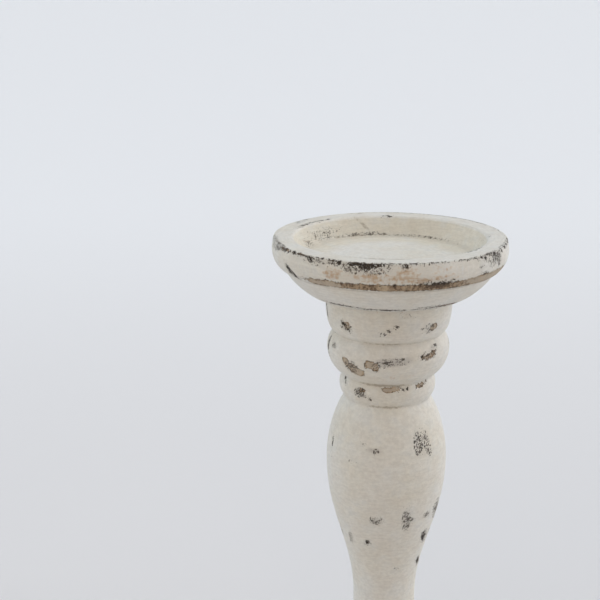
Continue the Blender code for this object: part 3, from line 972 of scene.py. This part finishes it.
def bare_wood():
    """Unpainted turned wood, for joints, sockets and the base's underside."""
    n = Nodes("bare_wood")
    ground, band, pore = BARE_WOOD
    place = n.place()
    bands = n.noise(n.stretched(place, (1, 6, 1)), 130, 4, 0.6)
    pores = n.noise(n.stretched(place, (1, 10, 1)), 1400, 3, 0.7)
    rings = n.noise(n.rings(place), 1100, 2)
    wood = n.mix(n.step(bands, 0.35, 0.68), ground, band)
    n.set("Base Color", n.mix(n.step(pores, 0.6, 0.72, 0.0, 0.6), wood, pore))
    n.set("Roughness", n.step(pores, 0.3, 0.7, 0.62, 0.8))
    n.bump(n.plus(n.times(rings, 0.8), n.times(pores, -0.6)), 0.00015, 0.7)
    return n.material


def beech():
    n = Nodes("beech")
    ground, band, fleck = BEECH
    place = n.place()
    grain = n.noise(n.stretched(place, (1, 1, 10)), 1200, 3, 0.6)
    flecks = n.noise(n.stretched(place, (1, 1, 3)), 3200, 2, 0.5)
    wood = n.mix(n.step(grain, 0.35, 0.65), ground, band)
    n.set("Base Color", n.mix(n.step(flecks, 0.6, 0.7, 0.0, 0.5), wood, fleck))
    n.set("Roughness", n.step(grain, 0.3, 0.7, 0.5, 0.68))
    n.bump(grain, 0.0001, 0.6)
    return n.material


def zinc_steel():
    n = Nodes("zinc_steel")
    place = n.place()
    cloudy = n.noise(place, 420, 4, 0.6)
    turning = n.noise(n.rings(place), 5200, 2)
    n.set("Base Color", n.mix(n.step(cloudy, 0.35, 0.7), *ZINC))
    n.set("Metallic", 1.0)
    n.set("Roughness", n.step(cloudy, 0.3, 0.7, 0.26, 0.46))
    n.bump(n.plus(turning, n.times(cloudy, 0.4)), 0.00005, 0.5)
    return n.material


def felt():
    n = Nodes("brown_felt")
    ground, fibre, clump = WOOL
    place = n.place()
    fibres = n.noise(place, 3800, 5, 0.75)
    clumps = n.noise(place, 900, 3, 0.6)
    wool = n.mix(n.step(fibres, 0.32, 0.68), ground, fibre)
    n.set("Base Color", n.mix(n.step(clumps, 0.5, 0.75, 0.0, 0.35), wool, clump))
    n.set("Roughness", 0.95)
    n.set("Sheen Weight", 0.35)
    n.set("Sheen Roughness", 0.6)
    n.bump(n.plus(fibres, clumps), 0.0004, 0.9)
    return n.material


# -------- pieces

def stands_for(piece, node):
    """The piece rides on the only body and replaces the node."""
    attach(piece, "root")
    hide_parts(node)


def paint_by_face(obj, is_bare):
    """Gives the second material to the faces whose centre is_bare says are unpainted."""
    for face in obj.data.polygons:
        x, y, z = face.center
        face.material_index = 1 if is_bare(math.hypot(x, y), z) else 0


def make_dish(marks, paint, wood):
    outline = dish_outline()
    radius, height = outline.T
    below_recess = RECESS_FLOOR - 1 * MM
    # Painted shade along the crease under the rim, at the bowl's foot and in the corner at the
    # recess wall's foot
    creases = [(RIM_EDGE[0], DISH_TOP - RIM_EDGE[1]), (BOWL_FOOT[0], DISH_FOOT)]
    wall_foot = (RECESS_FLOOR_RADIUS - 1 * MM, RECESS_FLOOR + 0.3 * MM)
    wall_foot_shade = near(outline, [wall_foot], 1.4 * MM) * 0.4
    in_recess = (radius < RECESS_MOUTH_RADIUS) & (height > below_recess)
    in_recess &= height < DISH_TOP - 1 * MM
    # Darker and yellower from the middle of the recess floor out to its wall
    yellower_to_wall = smoothstep(24 * MM, 32 * MM, radius) * 0.62
    hidden = (radius < BOWL_FOOT[0]) & (height < below_recess)
    hidden |= height <= DISH_FOOT + ONE_LEVEL
    tones = {
        "crease": np.maximum(near(outline, creases), wall_foot_shade),
        "aged": np.where(in_recess, yellower_to_wall, 0.04),
    }
    dish = turned_piece(
        "painted_dish", outline, DISH_SIDES, marks, ~hidden, tones, (paint, wood), seed=3,
    )
    paint_by_face(dish, lambda r, z: r < NECK[0] - 1 * MM and z < below_recess)
    stands_for(dish, "candle_dish")


def make_stem(marks, paint, wood):
    grooves = [GROOVE_1, GROOVE_2, GROOVE_3]
    outline = soften_grooves(stem_outline(), grooves, 1.2 * MM)
    radius, height = outline.T
    socket_wall = DOWEL_HOLE_RADIUS + 0.1 * MM
    hidden = (radius < NECK[0] - 1 * MM) & (height > STEM_TOP - ONE_LEVEL)
    hidden |= (height < STEM_FOOT + ONE_LEVEL) | (radius < socket_wall)
    tones = {
        # Painted shade along the grooves
        "crease": near(outline, grooves),
        # Yellower and darker for a few millimetres under the dish
        "aged": 0.10 + 0.12 * np.exp(-((height - STEM_TOP) / (6 * MM)) ** 2),
    }
    stem = turned_piece(
        "painted_stem", outline, STEM_SIDES, marks, ~hidden, tones, (paint, wood), seed=11,
    )

    def is_bare(r, z):
        return (
            r < socket_wall or z < STEM_FOOT + FACE_ON_LEVEL or z > STEM_TOP - FACE_ON_LEVEL
        )

    paint_by_face(stem, is_bare)
    stands_for(stem, "stem")


def make_base(marks, paint, wood):
    crease = (RIM_EDGE[0] * BASE_SCALE, BASE_FOOT + RIM_EDGE[1] * BASE_SCALE)
    outline = soften_grooves(base_outline(), [crease], 1.5 * MM)
    radius, height = outline.T
    hidden = (height < BASE_FOOT + ONE_LEVEL) | (radius < FLARE_RADIUS)
    tones = {
        # Painted shade in the base's crease and round the stem's foot
        "crease": near(outline, [crease, (FLARE_RADIUS, BASE_TOP)]),
        "aged": np.full(len(outline), 0.12),
    }
    base = turned_piece(
        "painted_base", outline, BASE_SIDES, marks, ~hidden, tones, (paint, wood), seed=19,
        closed=True,
    )

    def is_bare(r, z):
        return r < FLARE_RADIUS - 2 * MM or z < BASE_FOOT + FACE_ON_LEVEL

    paint_by_face(base, is_bare)
    stands_for(base, "base")


def make_dowel(material):
    """A fluted dowel with chamfered ends."""
    end = DOWEL_RADIUS - DOWEL_CHAMFER
    foot, top = DOWEL_FOOT + DOWEL_CHAMFER, DOWEL_TOP - DOWEL_CHAMFER
    outline = joined(
        spaced([(0, DOWEL_FOOT), (end, DOWEL_FOOT)], SOCKET_ROWS),
        spaced([(DOWEL_RADIUS, foot), (DOWEL_RADIUS, top)], SOCKET_ROWS),
        spaced([(end, DOWEL_TOP), (0, DOWEL_TOP)], SOCKET_ROWS),
    )
    angles = turn_angles(DOWEL_SIDES)
    flute = np.clip(np.cos(angles * FLUTES), 0, 1) ** FLUTE_POWER * FLUTE_DEPTH
    is_fluted = outline[:, :1] > DOWEL_RADIUS - 2 * DOWEL_CHAMFER
    rings = spun(outline, angles, np.where(is_fluted, -flute, 0))
    dowel, _ = revolve("fluted_dowel", rings[::-1], (material,))
    stands_for(dowel, "dish_dowel")


def make_washer(material):
    """A stamped washer, rounded more at its upper outer and its lower inner edge."""
    hole = SCREW_HOLE_RADIUS
    path = soften([
        (hole, WASHER_TOP - 0.5 * MM, 0), (hole, WASHER_TOP, WASHER_TIGHT_ROUNDING),
        (WASHER_RADIUS, WASHER_TOP, WASHER_ROUNDING),
        (WASHER_RADIUS, WASHER_FOOT, WASHER_TIGHT_ROUNDING),
        (hole, WASHER_FOOT, WASHER_ROUNDING), (hole, WASHER_TOP - 0.6 * MM, 0),
    ], SMALL_CORNER_STEPS)
    rings = spun(np.array(path), turn_angles(WASHER_SIDES))
    washer, _ = revolve("washer", rings, (material,), closed=True)
    stands_for(washer, "screw_washer")


def screw_outline(bearing, shank_top, thread_top):
    """From the crown's middle, over the pan head and up the shank and thread to the tip."""
    crown = []
    for angle in np.radians(np.linspace(0, 88, CROWN_STEPS + 1)):
        drop = SCREW_HEAD_HEIGHT * math.cos(angle) ** CROWN_POWER
        crown.append((SCREW_HEAD_RADIUS * math.sin(angle), bearing - drop))
    shank = [
        (SCREW_HEAD_RADIUS, bearing - 0.05 * MM), (SCREW_HEAD_RADIUS - 0.1 * MM, bearing),
        (SHANK_RADIUS, bearing), (SHANK_RADIUS, shank_top),
        (ROOT_RADIUS, shank_top + 0.5 * MM),
    ]
    thread = [(ROOT_RADIUS, shank_top + 0.6 * MM), (ROOT_RADIUS, thread_top)]
    thread = spaced(thread, THREAD_ROWS).tolist()
    tip = [(SCREW_TIP_RADIUS, SCREW_TOP - 0.1 * MM), (0, SCREW_TOP)]
    return np.array(crown + shank + thread + tip)


def make_screw(material):
    """A pan-head wood screw with a helical thread and a cross recess."""
    bearing = SCREW_FOOT + SCREW_HEAD_HEIGHT
    shank_top = bearing + SHANK_LENGTH
    thread_top = SCREW_TOP - SCREW_TIP_LENGTH
    outline = screw_outline(bearing, shank_top, thread_top)
    angles = turn_angles(SCREW_SIDES)
    height = outline[:, 1:]
    fade = smoothstep(shank_top, shank_top + THREAD_PITCH, height)
    fade *= 1 - smoothstep(thread_top - THREAD_PITCH, thread_top, height)
    phase = math.tau * height / THREAD_PITCH - angles[None, :]
    ridge = np.clip(np.cos(phase), 0, 1) ** 2 * THREAD_HEIGHT * fade
    screw, _ = revolve("wood_screw", spun(outline, angles, ridge)[::-1], (material,))
    for turn in (45, 135):
        cutter = cross_arm(SCREW_FOOT, math.radians(turn))
        cut = screw.modifiers.new(cutter.name, "BOOLEAN")
        cut.operation = "DIFFERENCE"
        cut.object = cutter
        with bpy.context.temp_override(object=screw, active_object=screw):
            bpy.ops.object.modifier_apply(modifier=cut.name)
        bpy.data.objects.remove(cutter, do_unlink=True)
    screw.data.set_sharp_from_angle(angle=math.radians(SCREW_SHARP_ANGLE))
    stands_for(screw, "base_screw")


def cross_arm(foot, turn):
    """One tapered arm of the screw's cross recess."""
    bm = bmesh.new()
    loops = []
    for long, wide, z in (CROSS_MOUTH, CROSS_BOTTOM):
        corners = ((1, 1), (-1, 1), (-1, -1), (1, -1))
        loops.append([
            bm.verts.new((sx * long / 2 * MM, sy * wide / 2 * MM, z * MM)) for sx, sy in corners
        ])
    for i in range(4):
        j = (i + 1) % 4
        bm.faces.new((loops[0][i], loops[0][j], loops[1][j], loops[1][i]))
    bm.faces.new(loops[0][::-1])
    bm.faces.new(loops[1])
    bmesh.ops.recalc_face_normals(bm, faces=bm.faces)
    mesh = bpy.data.meshes.new("cross_arm")
    bm.to_mesh(mesh)
    bm.free()
    arm = link("cross_arm", mesh, ())
    arm.location.z = foot
    arm.rotation_euler.z = turn
    bpy.context.view_layer.update()
    return arm


def make_felt_pad(node, seed, material):
    """A pressed felt disc with a slightly furred edge."""
    low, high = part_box(node)
    radius = (high[0] - low[0]) / 2
    path = soften([
        (0, high[2], 0), (radius, high[2], 0.4 * MM),
        (radius, low[2], 0.3 * MM), (0, low[2], 0),
    ], SMALL_CORNER_STEPS)
    rings = spun(spaced(path, PAD_ROWS), turn_angles(PAD_SIDES))
    fur = noise_at(rings.reshape(-1, 3), 1500, seed).reshape(rings.shape[:2])
    rings[..., :2] *= np.minimum(1 - (0.010 + 0.012 * fur), 1)[..., None]
    rings[..., 2] = np.clip(rings[..., 2] - 0.03 * MM * np.abs(fur), low[2], high[2])
    rings[0, :, 2] = high[2]
    rings[..., :2] += ((low[0] + high[0]) / 2, (low[1] + high[1]) / 2)
    name = node.replace("felt_pad", "felt_disc")
    pad, _ = revolve(name, rings, (material,), sharp=NEVER_SHARP)
    stands_for(pad, node)


# -------- stage

CAMERA_PLACE = (-0.0394, -0.5989, 0.3750)
CAMERA_LOOKS_DOWN = 15.35  # degrees
CAMERA_LENS = 84  # millimetres, like the sensor's width
CAMERA_SENSOR = 36

FLOOR_REACH = 40
# Painted light on the floor: darker and warmer near the camera, brighter and cooler far behind
FLOOR_NEAR_SHADED = (0.6, 0.555, 0.5)
FLOOR_MIDDLE = (0.75, 0.75, 0.775)
FLOOR_FAR_LIT = (0.87, 0.888, 0.93)

# Soft studio light: the direction that each lamp shines from, its strength and colour
LAMPS = {
    "right_softbox": ((1, 0.2, 0.2), 2.66, (1.0, 0.99, 0.98)),
    "left_softbox": ((-1, 0.2, 0.25), 1.38, (0.82, 0.93, 1.0)),
    "top_softbox": ((0, 0, 1), 1.25, (0.97, 0.99, 1.0)),
    "back_softbox": ((0, 1, 0.45), 0.20, (0.80, 0.90, 1.0)),
    "front_bounce": ((-0.45, -1, 0.05), 1.12, (1.0, 0.82, 0.66)),
}
LAMP_SPREAD = 90  # degrees
WORLD_LIGHT = (0.05, 0.05, 0.052, 1)
BACKDROP = (0.76, 0.78, 0.82, 1)


def make_camera():
    camera = bpy.data.cameras.new("camera")
    camera.lens = CAMERA_LENS
    camera.sensor_width = CAMERA_SENSOR
    obj = bpy.data.objects.new("camera", camera)
    obj.location = CAMERA_PLACE
    obj.rotation_euler = (math.radians(90 - CAMERA_LOOKS_DOWN), 0, 0)
    bpy.context.scene.collection.objects.link(obj)
    bpy.context.scene.camera = obj


def make_floor():
    """A plain pale floor, painted darker near the camera and brighter away from it as painted
    light from behind.
    """
    mesh = bpy.data.meshes.new("floor")
    corners = [(-1, -1), (1, -1), (1, 1), (-1, 1)]
    points = [(x * FLOOR_REACH, y * FLOOR_REACH, -0.05 * MM) for x, y in corners]
    mesh.from_pydata(points, [], [(0, 1, 2, 3)])
    n = Nodes("floor")
    y = n.node("SeparateXYZ", {0: n.place()}).outputs[1]
    pale = n.mix(n.step(y, -0.5, 0.2), FLOOR_NEAR_SHADED, FLOOR_MIDDLE)
    n.set("Base Color", n.mix(n.step(y, 0.0, 1.3), pale, FLOOR_FAR_LIT))
    n.set("Roughness", 0.8)
    n.set("Specular IOR Level", 0.2)
    link("floor", mesh, (n.material,))


def make_light():
    """The lamps, and a world whose backdrop only the camera sees."""
    for name, (place, strength, colour) in LAMPS.items():
        lamp = bpy.data.lights.new(name, "SUN")
        lamp.energy = strength
        lamp.color = colour
        lamp.angle = math.radians(LAMP_SPREAD)
        obj = bpy.data.objects.new(name, lamp)
        obj.rotation_euler = Vector(place).to_track_quat("Z", "Y").to_euler()
        bpy.context.scene.collection.objects.link(obj)
    world = bpy.data.worlds.new("studio")
    bpy.context.scene.world = world
    world.use_nodes = True
    nodes = world.node_tree.nodes
    links = world.node_tree.links
    nodes["Background"].inputs["Color"].default_value = WORLD_LIGHT
    backdrop = nodes.new("ShaderNodeBackground")
    backdrop.inputs["Color"].default_value = BACKDROP
    seen = nodes.new("ShaderNodeLightPath").outputs["Is Camera Ray"]
    either = nodes.new("ShaderNodeMixShader")
    links.new(seen, either.inputs[0])
    links.new(nodes["Background"].outputs[0], either.inputs[1])
    links.new(backdrop.outputs[0], either.inputs[2])
    links.new(either.outputs[0], nodes["World Output"].inputs["Surface"])
    bpy.context.scene.view_settings.view_transform = "Standard"


def main():
    make_camera()
    make_floor()
    make_light()
    paint = painted_wood()
    wood = bare_wood()
    steel = zinc_steel()
    wool = felt()
    dish_far, stem_far, base_far = far_side_marks()
    make_dish(DISH_MARKS + dish_far, paint, wood)
    make_stem(STEM_MARKS + stem_far, paint, wood)
    make_base(BASE_MARKS + base_far, paint, wood)
    make_dowel(beech())
    make_washer(steel)
    make_screw(steel)
    for i in range(4):
        make_felt_pad(f"felt_pad_{i + 1}", 40 + i, wool)


main()
